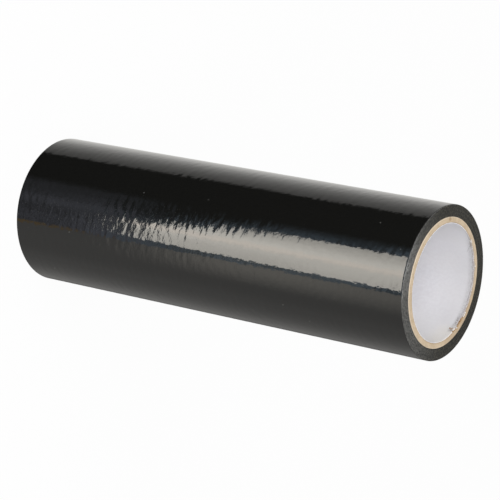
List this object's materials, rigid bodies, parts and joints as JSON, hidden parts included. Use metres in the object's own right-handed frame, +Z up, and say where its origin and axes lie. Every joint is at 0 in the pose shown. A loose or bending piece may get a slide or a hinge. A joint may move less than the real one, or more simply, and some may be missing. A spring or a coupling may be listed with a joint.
{
  "type": "protective film roll",
  "caption": "Roll of glossy black protective film wound on a white-lined paperboard core, open through the middle to take a spindle.",
  "frame": {"origin": "centre of the end that the roll stands on, on the axis of the core", "axes": "+Z up the roll's axis, -Y towards the side that the picture shows"},
  "size_m": [0.0998, 0.0998, 0.3104],
  "materials": {
    "film": "glossy black polyethylene film, with fine wrinkles round the roll and satin cut edges at its ends",
    "core_board": "matt brown board, cut square",
    "lining_paper": "matt white paper with a torn edge"
  },
  "bodies": {
    "root": {"film": "film", "core": "core_board", "core_lining": "lining_paper"}
  },
  "joints": []
}
